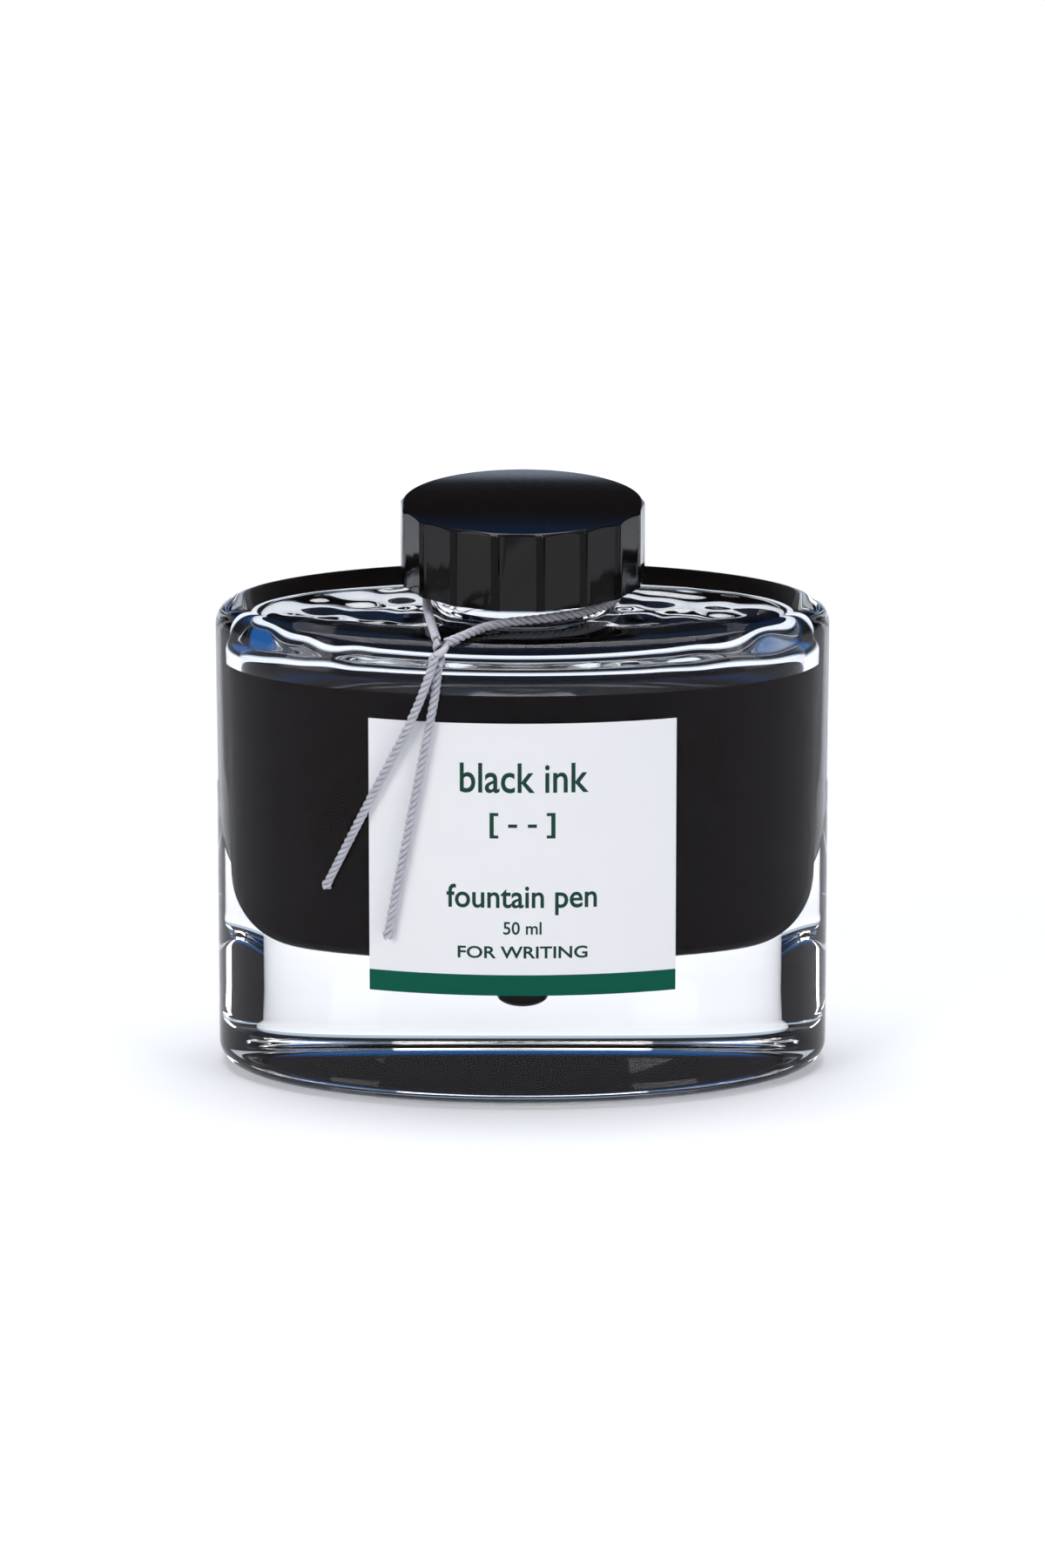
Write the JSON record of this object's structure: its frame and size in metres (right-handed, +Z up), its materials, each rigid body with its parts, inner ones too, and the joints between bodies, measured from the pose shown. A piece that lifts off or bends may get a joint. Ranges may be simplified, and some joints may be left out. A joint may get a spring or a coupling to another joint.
{
  "type": "inkwell",
  "caption": "Oval glass ink bottle with a very thick base, a paper label, a faceted black screw cap with a threaded insert and liner, ink inside, and a cord tied round the neck.",
  "frame": {"origin": "centre of the foot, on the surface the bottle stands on", "axes": "+Z up along the neck's axis, +X along the bottle's width, the label faces -Y"},
  "size_m": [0.079, 0.0422, 0.0756],
  "materials": {
    "clear_glass": "polished clear glass",
    "black_ink": "liquid, near black",
    "label_paper": "smooth printed paper",
    "cap_black": "high gloss",
    "insert_plastic": "satin moulded",
    "liner_foam": "matt foam disc",
    "cord_silver": "twisted silver-white cord"
  },
  "bodies": {
    "bottle": {"glass_bottle": "clear_glass", "ink_fill": "black_ink", "front_label": "label_paper", "cord_neck_loop": "cord_silver", "cord_knot": "cord_silver", "cord_tail_left": "cord_silver", "cord_tail_right": "cord_silver"},
    "liner": {"cap_liner": "liner_foam"},
    "cap": {"cap_shell": "cap_black", "cap_thread_insert": "insert_plastic"}
  },
  "joints": [
    {"name": "cap_raise", "type": "slide", "parent": "bottle", "child": "liner", "axis": [0, 0, 1], "range_m": [0, 0.0097]},
    {"name": "cap_turn", "type": "hinge", "parent": "liner", "child": "cap", "pos_m": [0, 0, 0.0702], "axis": [0, 0, 1], "range_deg": [0, 1080]}
  ],
  "couplings": [
    {"joint": "cap_raise", "follows": "cap_turn", "m_per_rad": 0.0005093}
  ]
}
